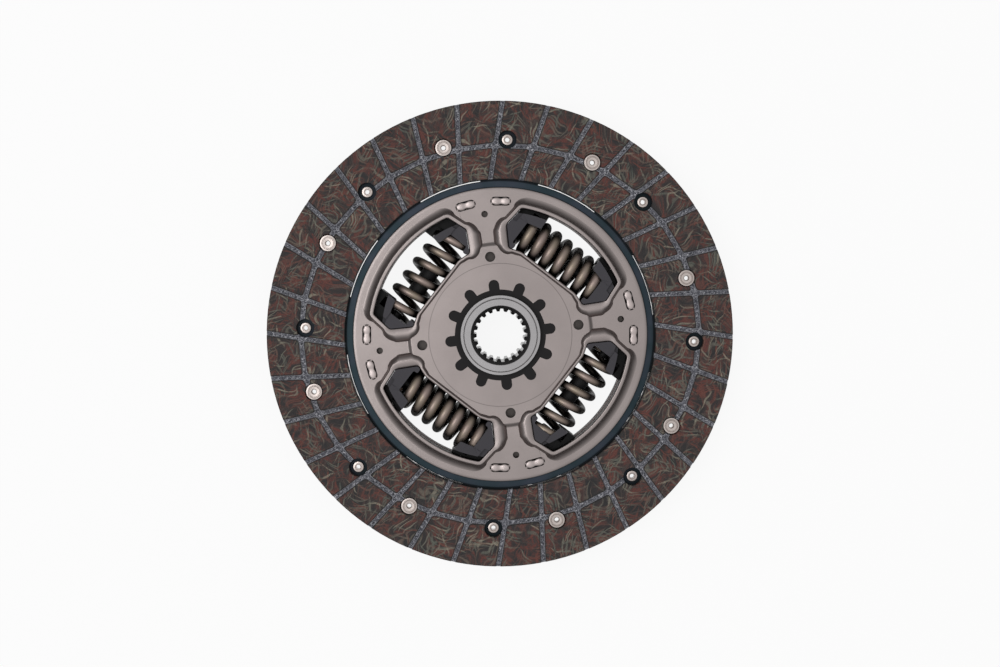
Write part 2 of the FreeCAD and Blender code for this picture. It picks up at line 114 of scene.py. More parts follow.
def makeCamera():
    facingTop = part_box("front_facing")[1].z
    leanTurn = math.radians(photo["leanAngle"] - photo["plusXAngle"])
    lean = math.radians(photo["lean"])
    reach = photo["distance"] * mm
    back = np.array([
        math.cos(leanTurn) * math.sin(lean), math.sin(leanTurn) * math.sin(lean), math.cos(lean)])
    rightTurn = math.radians(-photo["plusXAngle"])
    right = np.array([math.cos(rightTurn), math.sin(rightTurn), 0])
    right = right - right @ back * back
    right = right / np.linalg.norm(right)
    up = np.cross(back, right)
    data = bpy.data.cameras.new("photoCamera")
    data.sensor_width = photo["sensor"]
    data.lens = photo["sensor"] * photo["distance"] / (photo["mmPerPixel"] * photo["width"])
    data.shift_x = (photo["width"] / 2 - photo["discCentre"][0]) / photo["width"]
    data.shift_y = (photo["discCentre"][1] - photo["height"] / 2) / photo["width"]
    data.clip_start = 0.05
    data.clip_end = 60
    camera = bpy.data.objects.new("photoCamera", data)
    place = np.eye(4)
    place[:3, :3] = np.stack([right, up, back], axis=1)
    place[:3, 3] = np.array([0, 0, facingTop]) + back * reach
    camera.matrix_world = Matrix(place.tolist())
    bpy.context.scene.collection.objects.link(camera)
    bpy.context.scene.camera = camera


# Soft studio light: a dome, bright overhead and dim at the horizon, and one large soft lamp
studio = {
    "domeTop": 1.0,
    "domeHorizon": 0.22,
    "domeFall": 2.2,
    "lampSize": 0.9,
    "lampHeight": 1.6,
    "lampSide": 0.7,
    "lampTurn": 170,
    "lampPower": 6.0,
    "floorSize": 40,
    "floorColour": "#f6f6f6",
    "floorOwnWhite": 0.9,  # share of plain white in the floor, the rest takes the shadow
}


def makeStudio():
    world = bpy.data.worlds.new("studioDome")
    bpy.context.scene.world = world
    world.use_nodes = True
    tree = world.node_tree
    tree.nodes.clear()
    direction = addNode(tree, "TexCoord", out="Generated")
    height = addNode(tree, "SeparateXYZ", None, {0: direction}, out="Z")
    above = addNode(tree, "Math", "MAXIMUM", {0: height, 1: 0.0})
    rise = addNode(tree, "Math", "POWER", {0: above, 1: studio["domeFall"]})
    strength = addNode(tree, "MapRange", None, {
        "Value": rise, "To Min": studio["domeHorizon"], "To Max": studio["domeTop"]})
    glow = addNode(tree, "Background", None, {"Color": (1, 1, 1, 1), "Strength": strength})
    addNode(tree, "OutputWorld", None, {"Surface": glow})

    lamp = bpy.data.lights.new("softLamp", "AREA")
    lamp.size = studio["lampSize"]
    lamp.energy = studio["lampPower"]
    softLamp = bpy.data.objects.new("softLamp", lamp)
    turn = math.radians(studio["lampTurn"] - photo["plusXAngle"])
    away = studio["lampSide"]
    back = np.array([math.cos(turn) * away, math.sin(turn) * away, studio["lampHeight"]])
    unit = back / np.linalg.norm(back)
    side = np.cross([0, 0, 1], unit)
    side = side / np.linalg.norm(side)
    place = np.eye(4)
    place[:3, :3] = np.stack([side, np.cross(unit, side), unit], axis=1)
    place[:3, 3] = back
    softLamp.matrix_world = Matrix(place.tolist())
    bpy.context.scene.collection.objects.link(softLamp)

    half = studio["floorSize"] / 2
    mesh = bpy.data.meshes.new("paleFloor")
    corners = [(-half, -half, 0), (half, -half, 0), (half, half, 0), (-half, half, 0)]
    mesh.from_pydata(corners, [], [(0, 1, 2, 3)])
    floor = bpy.data.objects.new("paleFloor", mesh)
    bpy.context.scene.collection.objects.link(floor)
    paper = bpy.data.materials.new("whitePaper")  # matt studio paper: even, with the part's shadow on it
    paper.use_nodes = True
    tree = paper.node_tree
    tree.nodes.clear()
    path = tree.nodes.new("ShaderNodeLightPath")
    seen = addNode(tree, "Math", "MAXIMUM", {
        0: path.outputs["Is Camera Ray"], 1: path.outputs["Is Glossy Ray"]})
    seen = addNode(tree, "Math", "MAXIMUM", {0: seen, 1: path.outputs["Is Transmission Ray"]})
    share = addNode(tree, "Math", "MULTIPLY", {0: seen, 1: studio["floorOwnWhite"]})
    lit = addNode(tree, "BsdfDiffuse", None, {"Color": hexLinear(studio["floorColour"])})
    white = addNode(tree, "Emission", None, {"Color": (1, 1, 1, 1), "Strength": 1.0})
    both = addNode(tree, "MixShader", None, {0: share, 1: lit, 2: white})
    addNode(tree, "OutputMaterial", None, {"Surface": both})
    mesh.materials.append(paper)


makeCamera()
makeStudio()
print("camera and studio made")


# Friction lining: yarn wound in loops, bonded and ground flat, so cut strands show in a brown matrix
lining = {
    "innerRadius": 76.1,
    "outerRadius": 114.0,
    "grooveCount": 32,
    "grooveWidth": 2.2,
    "grooveOffset": 16.6,  # distance at which a groove's line passes the hub axis
    "grooveStart": -5.1,  # degrees
    "ringWidth": 2.3,
    "ringSwing": 2.45,  # how far the ring groove is out of round, and where it is widest, in degrees
    "ringTurn": -47.5,
    "cornerBlend": 2.2,
    # how far from a groove the painted shade along the blocks' edges reaches, in mm
    "paintedRimShade": 0.75,
    "bendReach": 14.0,
    "bendSize": 17.0,
    "patchSize": 6.0,
    "outline": (0.5, 0.12),  # the pale line along a groove's sides: where it starts and ends, in mm
    "grit": 0.5,
}
strandLayers = [  # turn in degrees, length and width of a strand's cell in mm, and how much of it shows
    (38, 20.0, 1.7, 0.75),
    (-47, 18.0, 1.6, 0.7),
    (100, 15.0, 1.5, 0.65),
    (5, 13.0, 1.3, 0.6),
]


def grooveEdge(tree, x, y):
    # Distance in mm from the nearest groove edge or rim, positive on the blocks. A groove is a
    # straight line at a fixed offset from the axis, so it turns by asin(offset / radius).
    pitch = 2 * math.pi / lining["grooveCount"]
    square = addNode(tree, "Math", "MULTIPLY", {0: x, 1: x})
    square = addNode(tree, "Math", "MULTIPLY_ADD", {0: y, 1: y, 2: square})
    radius = addNode(tree, "Math", "SQRT", {0: square})
    turn = addNode(tree, "Math", "ARCTAN2", {0: y, 1: x})
    slant = addNode(tree, "Math", "DIVIDE", {0: lining["grooveOffset"], 1: radius})
    slant = addNode(tree, "Math", "ARCSINE", {0: slant})
    start = addNode(tree, "Math", "SUBTRACT", {0: turn, 1: slant})
    start = addNode(tree, "Math", "SUBTRACT", {
        0: start, 1: math.radians(lining["grooveStart"])})
    away = addNode(tree, "Math", "WRAP", {0: start, 1: pitch / 2, 2: -pitch / 2})
    away = addNode(tree, "Math", "ABSOLUTE", {0: away})
    along = addNode(tree, "Math", "SUBTRACT", {0: square, 1: lining["grooveOffset"] ** 2})
    along = addNode(tree, "Math", "SQRT", {0: along})
    fromGroove = addNode(tree, "Math", "MULTIPLY_ADD", {
        0: along, 1: away, 2: -lining["grooveWidth"] / 2})
    swing = addNode(tree, "Math", "SUBTRACT", {
        0: turn, 1: math.radians(lining["ringTurn"])})
    swing = addNode(tree, "Math", "MULTIPLY", {0: swing, 1: 2.0})
    swing = addNode(tree, "Math", "COSINE", {0: swing})
    middle = (lining["innerRadius"] + lining["outerRadius"]) / 2
    ring = addNode(tree, "Math", "MULTIPLY_ADD", {
        0: swing, 1: lining["ringSwing"], 2: middle})
    fromMiddle = addNode(tree, "Math", "SUBTRACT", {0: pitch / 2, 1: away})
    chord = addNode(tree, "Math", "COSINE", {0: fromMiddle})
    chord = addNode(tree, "Math", "DIVIDE", {0: math.cos(pitch / 2), 1: chord})
    ring = addNode(tree, "Math", "MULTIPLY", {0: ring, 1: chord})
    fromRing = addNode(tree, "Math", "SUBTRACT", {0: radius, 1: ring})
    fromRing = addNode(tree, "Math", "ABSOLUTE", {0: fromRing})
    fromRing = addNode(tree, "Math", "SUBTRACT", {0: fromRing, 1: lining["ringWidth"] / 2})
    edge = addNode(tree, "Math", "SMOOTH_MIN", {
        0: fromGroove, 1: fromRing, 2: lining["cornerBlend"]})
    rimIn = addNode(tree, "Math", "SUBTRACT", {0: radius, 1: lining["innerRadius"] - 0.2})
    rimOut = addNode(tree, "Math", "SUBTRACT", {0: lining["outerRadius"] + 0.2, 1: radius})
    rim = addNode(tree, "Math", "MINIMUM", {0: rimIn, 1: rimOut})
    return addNode(tree, "Math", "MINIMUM", {0: edge, 1: rim}), edge


def liningMaterial():
    material, tree, coords = newMaterial("woundYarnLining")
    flat = addNode(tree, "VectorMath", "MULTIPLY", {0: coords, 1: (1, 1, 0)})
    split = tree.nodes.new("ShaderNodeSeparateXYZ")
    tree.links.new(coords, split.inputs[0])
    edge, grooveOnly = grooveEdge(tree, split.outputs["X"], split.outputs["Y"])
    bend = addNode(tree, "TexNoise", {"noise_dimensions": "2D"}, {
        "Vector": flat, "Scale": 1 / lining["bendSize"], "Detail": 1.5}, out="Color")
    bend = addNode(tree, "VectorMath", "SUBTRACT", {0: bend, 1: (0.5, 0.5, 0.5)})
    bend = addNode(tree, "VectorMath", "SCALE", {0: bend, "Scale": lining["bendReach"]})
    bent = addNode(tree, "VectorMath", "ADD", {0: flat, 1: bend})
    patches = addNode(tree, "TexNoise", {"noise_dimensions": "2D"}, {
        "Vector": bent, "Scale": 1 / lining["patchSize"], "Detail": 3.0, "Roughness": 0.6})
    colour = addNode(tree, "ValToRGB", {"stops": [
        (0.32, "#262526"), (0.45, "#322c2c"), (0.53, "#46302d"), (0.61, "#63352e"),
        (0.70, "#3a3231")]}, {0: patches})
    relief = patches
    for turn, length, width, shown in strandLayers:
        laid = addNode(tree, "Mapping", {"vector_type": "TEXTURE"}, {
            "Vector": bent, "Rotation": (0, 0, math.radians(turn)), "Scale": (length, width, 1)})
        cells = tree.nodes.new("ShaderNodeTexVoronoi")
        cells.voronoi_dimensions = "2D"
        cells.inputs["Scale"].default_value = 1.0
        tree.links.new(laid, cells.inputs["Vector"])
        strand = addNode(tree, "MapRange", {"interpolation_type": "SMOOTHSTEP"}, {
            "Value": cells.outputs["Distance"], "From Min": 0.34, "From Max": 0.16,
            "To Min": 0.0, "To Max": shown})
        chance = addNode(tree, "SeparateColor", None, {0: cells.outputs["Color"]})
        yarn = addNode(tree, "ValToRGB", {"stops": [
            (0.0, "#2b2828"), (0.3, "#4b403c"), (0.5, "#6b3a31"), (0.68, "#6e675c"), (0.85, "#5c6058"),
            (1.0, "#98907f")]}, {0: chance})
        colour = addNode(tree, "Mix", {"data_type": "RGBA"}, {0: strand, 6: colour, 7: yarn}, out=2)
        relief = addNode(tree, "Math", "ADD", {0: relief, 1: strand})
    grit = addNode(tree, "TexNoise", {"noise_dimensions": "2D"}, {
        "Vector": flat, "Scale": 1 / lining["grit"], "Detail": 2.0})
    shade = addNode(tree, "MapRange", None, {
        "Value": grit, "From Min": 0.3, "From Max": 0.7, "To Min": 0.75, "To Max": 1.25})
    colour = addNode(tree, "VectorMath", "SCALE", {0: colour, "Scale": shade})
    # Painted shade: the blocks darken towards the groove edges
    paintedEdgeShade = addNode(tree, "MapRange", {"interpolation_type": "SMOOTHSTEP"}, {
        "Value": edge, "From Min": 0.15, "From Max": lining["paintedRimShade"], "To Min": 0.12, "To Max": 1.0})
    blocks = addNode(tree, "VectorMath", "SCALE", {0: colour, "Scale": paintedEdgeShade})
    flecks = addNode(tree, "TexNoise", {"noise_dimensions": "2D"}, {
        "Vector": flat, "Scale": 1.1, "Detail": 3.0, "Roughness": 0.7, "Distortion": 1.0})
    floorColour = addNode(tree, "ValToRGB", {"stops": [
        (0.38, "#303138"), (0.49, "#50515a"), (0.57, "#7a7b83"), (0.66, "#bdbdc2")]}, {0: flecks})
    start, stop = lining["outline"]
    pale = addNode(tree, "MapRange", {"interpolation_type": "SMOOTHSTEP"}, {
        "Value": grooveOnly, "From Min": -start, "From Max": -stop})
    pale = addNode(tree, "Math", "MULTIPLY", {0: pale, 1: patches})
    floorColour = addNode(tree, "Mix", {"data_type": "RGBA"}, {
        0: pale, 6: floorColour, 7: hexLinear("#a3a3aa")}, out=2)
    onBlock = addNode(tree, "MapRange", None, {
        "Value": grooveOnly, "From Min": -0.1, "From Max": 0.1})
    mixed = addNode(tree, "Mix", {"data_type": "RGBA"}, {0: onBlock, 6: floorColour, 7: blocks}, out=2)
    bump = addNode(tree, "Bump", None, {"Strength": 0.5, "Distance": 0.00025, "Height": relief})
    finishMaterial(tree, {"Base Color": mixed, "Roughness": 0.75, "Normal": bump})
    return material


def axisDistance(tree, coords):
    # Distance from the hub axis in mm
    flat = addNode(tree, "VectorMath", "MULTIPLY", {0: coords, 1: (1, 1, 0)})
    return addNode(tree, "VectorMath", "LENGTH", {0: flat}, out="Value")


def steelMaterial(name, colour, roughness, scribed=None, fresh=None, bore=None):
    # Satin steel: a faint cloudy tone and a fine grain in the gloss. Where given, scribed is the
    # radius and width of a scribed circle
    material, tree, coords = newMaterial(name)
    cloud = addNode(tree, "TexNoise", None, {"Vector": coords, "Scale": 0.05, "Detail": 3.0})
    tone = addNode(tree, "MapRange", None, {
        "Value": cloud, "From Min": 0.3, "From Max": 0.7, "To Min": 0.94, "To Max": 1.06})
    if scribed:
        circle, width = scribed
        radius = axisDistance(tree, coords)
        off = addNode(tree, "Math", "SUBTRACT", {0: radius, 1: circle})
        off = addNode(tree, "Math", "ABSOLUTE", {0: off})
        line = addNode(tree, "MapRange", {"interpolation_type": "SMOOTHSTEP"}, {
            "Value": off, "From Min": 0.0, "From Max": width, "To Min": 0.55, "To Max": 1.0})
        tone = addNode(tree, "Math", "MULTIPLY", {0: tone, 1: line})
    if bore:  # inside this radius the broached teeth get painted shade, darker than the turned ends
        radius = axisDistance(tree, coords)
        outside = addNode(tree, "MapRange", {"interpolation_type": "SMOOTHSTEP"}, {
            "Value": radius, "From Min": bore, "From Max": bore + 0.4, "To Min": 0.3, "To Max": 1.0})
        tone = addNode(tree, "Math", "MULTIPLY", {0: tone, 1: outside})
    if fresh:  # above this level staking laid bare metal, which is brighter
        height = addNode(tree, "SeparateXYZ", None, {0: coords}, out="Z")
        bare = addNode(tree, "MapRange", None, {
            "Value": height, "From Min": fresh, "From Max": fresh + 0.5, "To Min": 1.0, "To Max": 1.55})
        tone = addNode(tree, "Math", "MULTIPLY", {0: tone, 1: bare})
    base = addNode(tree, "VectorMath", "SCALE", {0: hexLinear(colour)[:3], "Scale": tone})
    fine = addNode(tree, "TexNoise", None, {"Vector": coords, "Scale": 3.0, "Detail": 2.0})
    gloss = addNode(tree, "MapRange", None, {
        "Value": fine, "From Min": 0.3, "From Max": 0.7,
        "To Min": roughness - 0.05, "To Max": roughness + 0.05})
    bump = addNode(tree, "Bump", None, {"Strength": 0.15, "Distance": 0.0001, "Height": fine})
    finishMaterial(tree, {"Base Color": base, "Metallic": 1.0, "Roughness": gloss, "Normal": bump})
    return material


def depthShade(tree, coords, deep, shallow, least):
    # Painted shade: the tone is lowest near the springs' plane and rises with the distance from it, so
    # what lies deep between the plates is darkened as if in shade
    height = addNode(tree, "SeparateXYZ", None, {0: coords}, out="Z")
    off = addNode(tree, "Math", "SUBTRACT", {0: height, 1: coils["plane"]})
    off = addNode(tree, "Math", "ABSOLUTE", {0: off})
    return addNode(tree, "MapRange", {"interpolation_type": "SMOOTHSTEP"}, {
        "Value": off, "From Min": deep, "From Max": shallow, "To Min": least, "To Max": 1.0})


def springMaterial(name):
    # Oil-hardened spring wire: brown-grey, with a painted highlight on the tops of the coils and painted
    # shade, nearly black, in between
    material, tree, coords = newMaterial(name)
    cloud = addNode(tree, "TexNoise", None, {"Vector": coords, "Scale": 0.12, "Detail": 2.0})
    tint = addNode(tree, "ValToRGB", {"stops": [(0.4, "#9a8a83"), (0.62, "#978a7c")]}, {0: cloud})
    # Painted shade: the wire darkens from the coil tops down its flanks
    shade = depthShade(tree, coords, 6.8, 9.8, 0.04)
    base = addNode(tree, "VectorMath", "SCALE", {0: tint, "Scale": shade})
    fine = addNode(tree, "TexNoise", None, {"Vector": coords, "Scale": 2.0, "Detail": 2.0})
    bump = addNode(tree, "Bump", None, {"Strength": 0.2, "Distance": 0.0001, "Height": fine})
    finishMaterial(tree, {"Base Color": base, "Metallic": 0.9, "Roughness": 0.42, "Normal": bump})
    return material


def plasticMaterial(name, colour, roughness, deep=None):
    # Glass-filled nylon as moulded: dark, with a fine satin grain, and where deep is given, painted
    # shade that darkens it near the springs' plane
    material, tree, coords = newMaterial(name)
    fine = addNode(tree, "TexNoise", None, {"Vector": coords, "Scale": 2.5, "Detail": 3.0})
    tone = addNode(tree, "MapRange", None, {
        "Value": fine, "From Min": 0.3, "From Max": 0.7, "To Min": 0.9, "To Max": 1.1})
    # painted shade by depth
    if deep:
        shade = depthShade(tree, coords, *deep)
        tone = addNode(tree, "Math", "MULTIPLY", {0: tone, 1: shade})
    base = addNode(tree, "VectorMath", "SCALE", {0: hexLinear(colour)[:3], "Scale": tone})
    bump = addNode(tree, "Bump", None, {"Strength": 0.2, "Distance": 0.0001, "Height": fine})
    finishMaterial(tree, {
        "Base Color": base, "Roughness": roughness, "Specular IOR Level": 0.2, "Normal": bump})
    return material


def meshOf(name, points, faces):
    # Object from an array of points in mm and faces as lists of corners
    mesh = bpy.data.meshes.new(name)
    mesh.from_pydata((points * mm).tolist(), [], faces)
    thing = bpy.data.objects.new(name, mesh)
    bpy.context.scene.collection.objects.link(thing)
    return thing


def meshPiece(name, points, faces, material, sharpAngle):
    # One closed piece, shaded smooth but for edges sharper than an angle in degrees
    piece = meshOf(name, points, faces)
    piece.data.materials.append(material)
    piece.data.polygons.foreach_set("use_smooth", [True] * len(faces))
    piece.data.set_sharp_from_angle(angle=math.radians(sharpAngle))
    return piece


def tubeFaces(rings, around):
    # Quads between neighbouring rings of a grid that closes round each ring, and a cap on both ends
    ring, place = np.meshgrid(np.arange(rings - 1), np.arange(around), indexing="ij")
    near = ring * around + place
    far = ring * around + (place + 1) % around
    quads = np.stack([near, far, far + around, near + around], axis=-1).reshape(-1, 4).tolist()
    first = list(range(around))[::-1]
    last = [(rings - 1) * around + k for k in range(around)]
    return quads + [first, last]


def gridFaces(rows, columns):
    # Quads of a grid that closes on itself in both directions
    row, column = np.meshgrid(np.arange(rows), np.arange(columns), indexing="ij")
    nextRow = (row + 1) % rows
    nextColumn = (column + 1) % columns
    return np.stack([
        row * columns + column, nextRow * columns + column,
        nextRow * columns + nextColumn, row * columns + nextColumn], axis=-1).reshape(-1, 4).tolist()


def joined(shells):
    # Several (points, faces) shells as one
    points = []
    faces = []
    start = 0
    for shellPoints, shellFaces in shells:
        points.append(shellPoints)
        faces += [[start + corner for corner in face] for face in shellFaces]
        start += len(shellPoints)
    return np.concatenate(points), faces


def aroundAxis(points, turn):
    # Points turned about the hub axis by an angle in degrees
    cosine = math.cos(math.radians(turn))
    sine = math.sin(math.radians(turn))
    return points @ np.array([[cosine, sine, 0], [-sine, cosine, 0], [0, 0, 1]])


def repeated(shell, turns):
    # One (points, faces) shell at several angles about the hub axis, as a list
    points, faces = shell
    return [(aroundAxis(points, turn), faces) for turn in turns]


def turnedShell(section, segments=360):
    # A closed (radius, height) section carried round the hub axis
    section = np.array(section, dtype=float)
    turn = np.linspace(0, 2 * math.pi, segments, endpoint=False)[:, None]
    points = np.stack([
        section[:, 0] * np.cos(turn), section[:, 0] * np.sin(turn), section[:, 1] + 0 * turn], axis=-1)
    return points.reshape(-1, 3), gridFaces(segments, len(section))


def uprightShell(outline, low, high):
    # A closed outline of (x, y) points carried straight up between two levels, with flat caps
    count = len(outline)
    levels = np.array([low, high])
    points = np.concatenate([np.column_stack([outline, np.full(count, level)]) for level in levels])
    place = np.arange(count)
    after = (place + 1) % count
    sides = np.stack([place, after, after + count, place + count], axis=-1).tolist()
    return points, sides + [list(range(count))[::-1], list(range(count, 2 * count))]


def slotOutline(centre, heading, straight, width, count=32):
    # Round-ended slot: a circle whose two halves are drawn apart along its heading
    turn = (np.arange(count) + 0.5) / count * 2 * math.pi + heading
    apart = np.where(np.cos(turn - heading) > 0, 0.5, -0.5) * straight
    x = centre + width / 2 * np.cos(turn) + apart * math.cos(heading)
    y = width / 2 * np.sin(turn) + apart * math.sin(heading)
    return np.stack([x, y], axis=-1)


outlineStep = 0.36  # distance in mm between the points of a window's or a seat's outline
quarterTurns = (0, 90, 180, 270)


def evened(points, values):
    # The same closed line with its points, and the values on them, at even steps
    step = np.linalg.norm(np.roll(points, -1, axis=0) - points, axis=-1)
    place = np.concatenate([[0], np.cumsum(step)])
    at = np.linspace(0, place[-1], int(place[-1] / outlineStep), endpoint=False)
    both = np.concatenate([points, values], axis=-1)
    both = np.concatenate([both, both[:1]])
    out = np.stack([np.interp(at, place, column) for column in both.T], axis=-1)
    return out[:, :2], out[:, 2:]


def averaged(values, run):
    # Running mean along a closed line, over a run in mm
    half = max(1, round(run / outlineStep / 2))
    return sum(np.roll(values, k, axis=0) for k in range(-half, half + 1)) / (2 * half + 1)


def combine(thing, other, operation):
    # Exact union, cut or overlap of two closed meshes; the second one is used up
    step = thing.modifiers.new(operation, "BOOLEAN")
    step.operation = operation
    step.solver = "MANIFOLD"
    step.object = other
    bpy.context.view_layer.update()
    shape = bpy.data.meshes.new_from_object(thing.evaluated_get(bpy.context.evaluated_depsgraph_get()))
    thing.modifiers.clear()
    thing.data = shape
    bpy.data.objects.remove(other)


# Retainer plates: deep-drawn sheet with a raised edge drawn up round each spring window. Both are
# worked out as the front one lies, and the rear one is mirrored in the plane of the springs' axes
plate = {
    "under": 17.6,
    "top": 20.2,
    "pressing": {"front": 1.2, "rear": 2.6},  # the middle stands this much further out than the rim
    "pressingRadius": 44.0,
    "rim": {"front": 72.0, "rear": 66.6},
    "rimRound": 1.5,
    "rimDrop": 0.3,
    "bore": 22.26,
    "crest": 23.2,
    "edgeRound": 0.7,
    "edgeLift": 0.02,  # keeps the windows' flare clear of the lip's own faces
    "edgeFaces": 0.22,  # faces whose normal's upright part is less than this are sheared edges, coloured dark as painted shade
    "sharpAngle": 38,
    "cut": (16.6, 25.2),  # levels between which all openings are cut
    "underShift": 1.3,  # the step of the sheet's underside lies this much further in
    "lipRows": 26,
    "lipInside": 0.5,  # how far a lip reaches into its window before that is cut
    "lipBottom": 19.4,
    "lipSink": 0.1,  # a lip's foot starts this far below the sheet's top
    "beadPower": 0.8,
    "beadDish": 0.2,
    "steepPower": 2.6,
    "lug": (45, 7.6, 65.3),  # spoke angle, spread and radius of the staked lugs
    "lugSlot": (10.1, 4.4),
    "tabNotch": (12, 15, 5.2, 27.16),  # how many, angle of the first, width and reach
    "pinHole": (59.5, 3.2),
    "spokeHole": (38.5, 5.0),
    "lugFoot": (11.6, 2.6, 9.0, 16.8),  # length, thickness and two levels of the lugs' wide lower part
    "lugTongue": (9.2, 2.6, 16.0, 20.6),
    "lugCap": (9.3, 3.9, 20.5, 0.75),  # length, width, level and half height of the staked end
}
# One spring window on +X. A corner is its distance from the hub axis and its half length, and a
# side of the outline has its lip's foot width, crest width and how round the crest is
window = {
    "wall": (30.2, 47.2, 5.0),  # half length, at which distance, and the end walls' lean in degrees
    "shoulder": 44.6,
    "toe": (36.4, 22.7),
    "chord": (38.5, 16.5),
    "arcRadius": 62.6,
    "cornerRun": 1.6,  # length over which a corner turns
    "widthRuns": (3.2, 2.2),
    "sides": {
        "wall": (3.4, 1.8, 0.0),
        "slope": (7.0, 3.2, 1.0),
        "toe": (3.2, 1.1, 0.3),
        "chord": (2.7, 1.1, 0.0),
        "arc": (7.2, 1.9, -1.0),
    },
}


def wallHalf(distance):
    # Half length of a window at a distance from the hub axis
    half, at, lean = window["wall"]
    return half - (distance - at) * math.tan(math.radians(lean))


def windowOutline():
    # The window's corners joined by straight sides and one arc, as evenly spaced points, then
    # averaged along a short run so that the corners turn smoothly. Widths are averaged likewise.
    arc = window["arcRadius"]
    cornerTurn = 0.5
    for _ in range(8):  # closes in on the corner where the leaning wall meets the arc
        cornerTurn = math.asin(wallHalf(arc * math.cos(cornerTurn)) / arc)
    corner = (arc * math.cos(cornerTurn), arc * math.sin(cornerTurn))
    shoulder = (window["shoulder"], wallHalf(window["shoulder"]))
    toe = window["toe"]
    chord = window["chord"]
    runs = [("wall", corner, shoulder), ("slope", shoulder, toe), ("toe", toe, chord),
            ("chord", chord, (chord[0], -chord[1]))]
    runs += [(name, (far[0], -far[1]), (near[0], -near[1])) for name, near, far in runs[2::-1]]
    pieces = []
    widths = []
    for name, start, end in runs:
        count = int(math.dist(start, end) / outlineStep * 2)
        share = np.linspace(0, 1, count, endpoint=False)[:, None]
        pieces.append(np.array(start) * (1 - share) + np.array(end) * share)
        widths += [window["sides"][name]] * count
    count = int(2 * cornerTurn * arc / outlineStep * 2)
    turn = np.linspace(-cornerTurn, cornerTurn, count, endpoint=False)
    pieces.append(arc * np.stack([np.cos(turn), np.sin(turn)], axis=-1))
    widths += [window["sides"]["arc"]] * count

    outline, widths = evened(np.concatenate(pieces), np.array(widths))
    outline = averaged(outline, window["cornerRun"])
    for run in window["widthRuns"]:
        widths = averaged(widths, run)
    tangent = np.roll(outline, -1, axis=0) - np.roll(outline, 1, axis=0)
    tangent = tangent / np.linalg.norm(tangent, axis=-1, keepdims=True)
    normal = np.stack([-tangent[:, 1], tangent[:, 0]], axis=-1)
    outwards = np.sign(((outline - outline.mean(axis=0)) * normal).sum())
    return outline, normal * outwards, widths


def lipLevel(widths, away):
    # Height of the raised edge at a distance from the window. From the crest it falls as a smooth
    # S, as a round bead, a power of 1 - x^2, or steeply and then flat, a power of 1 - x. The three
    # are mixed by how round the crest is: 0, 1 or -1.
    foot, crest, rounding = [column[:, None] for column in widths.T]
    x = np.clip((away - crest) / (foot - crest), 0, 1)
    plain = 1 - x * x * (3 - 2 * x)
    inside = np.clip((crest - away) / crest, 0, 1)
    bead = (1 - x * x) ** plate["beadPower"] - plate["beadDish"] * inside ** 2
    steep = (1 - x) ** plate["steepPower"]
    isBead = np.clip(rounding, 0, 1)
    isSteep = np.clip(-rounding, 0, 1)
    share = isBead * bead + isSteep * steep + (1 - isBead - isSteep) * plain
    base = plate["top"] - plate["lipSink"]
    return base + (plate["crest"] - base) * share


def lipShell(outline, normal, widths):
    # Raised edge as a closed ring: rows of points outwards from the window, and two rows beneath
    share = np.linspace(0, 1, plate["lipRows"])[None, :]
    away = np.concatenate([
        np.full((len(outline), 1), -plate["lipInside"]), share * widths[:, :1]], axis=-1)
    level = lipLevel(widths, np.maximum(away, 0))
    away = np.concatenate([away, away[:, -1:], away[:, :1]], axis=-1)
    level = np.concatenate([level, np.full((len(outline), 2), plate["lipBottom"])], axis=-1)
    flat = outline[:, None, :] + away[..., None] * normal[:, None, :]
    points = np.concatenate([flat, level[..., None]], axis=-1)
    return points.reshape(-1, 3), gridFaces(len(outline), away.shape[1])


def windowCutter(outline, normal, widths):
    # What the window takes away: upright walls that flare by a quarter circle at the raised edge
    edge = plate["edgeRound"]
    low, high = plate["cut"]
    level = lipLevel(widths, np.full((len(outline), 1), edge))[:, 0]
    rows = [(0, low)]
    for turn in np.radians([0, 30, 60, 90]):
        rise = edge * math.sin(turn) + plate["edgeLift"]
        rows.append((edge * (1 - math.cos(turn)), level - edge + rise))
    rows.append((edge, high))
    rings = [np.column_stack([outline + away * normal, np.full(len(outline), height)])
             for away, height in rows]
    return np.concatenate(rings), tubeFaces(len(rings), len(outline))


def meshArrays(mesh, flipped=None):
    # A mesh's points in mm and its faces, mirrored by the three signs in flipped where it is given
    points = np.empty(3 * len(mesh.vertices))
    mesh.vertices.foreach_get("co", points)
    points = points.reshape(-1, 3) / mm
    faces = [list(face.vertices) for face in mesh.polygons]
    if flipped:
        points = points * np.array(flipped)
        faces = [face[::-1] for face in faces]
    return points, faces


def pressedSheet(kind):
    # The sheet is a turned section whose middle is raised along a smooth S, 1 - x^2 (3 - 2 x)
    rise = np.linspace(0, 1, 7)
    pressing = plate["pressing"][kind]
    rim = plate["rim"][kind]
    top = plate["top"]
    under = plate["under"]
    step = pressing * (1 - rise * rise * (3 - 2 * rise))
    radii = plate["pressingRadius"] + pressing * (2 * rise - 0.5)
    rimRound = plate["rimRound"]
    section = [(plate["bore"], under + pressing), (plate["bore"], top + pressing)]
    section += [(r, top + z) for r, z in zip(radii, step)]
    for turn in np.radians([0, 22, 45, 67, 90]):
        drop = plate["rimDrop"] * (1 - math.cos(turn))
        section.append((rim - rimRound + rimRound * math.sin(turn), top - drop))
    section += [(rim, under)]
    section += [(r - plate["underShift"], under + z) for r, z in zip(radii[::-1], step[::-1])]
    sheet = meshOf("pressedSheet" + kind, *turnedShell(section))
    outline = windowOutline()
    lips = joined(repeated(lipShell(*outline), quarterTurns))
    combine(sheet, meshOf("lips", *lips), "UNION")
    openings = joined(repeated(windowCutter(*outline), quarterTurns))
    combine(sheet, meshOf("windows", *openings), "DIFFERENCE")
    return sheet


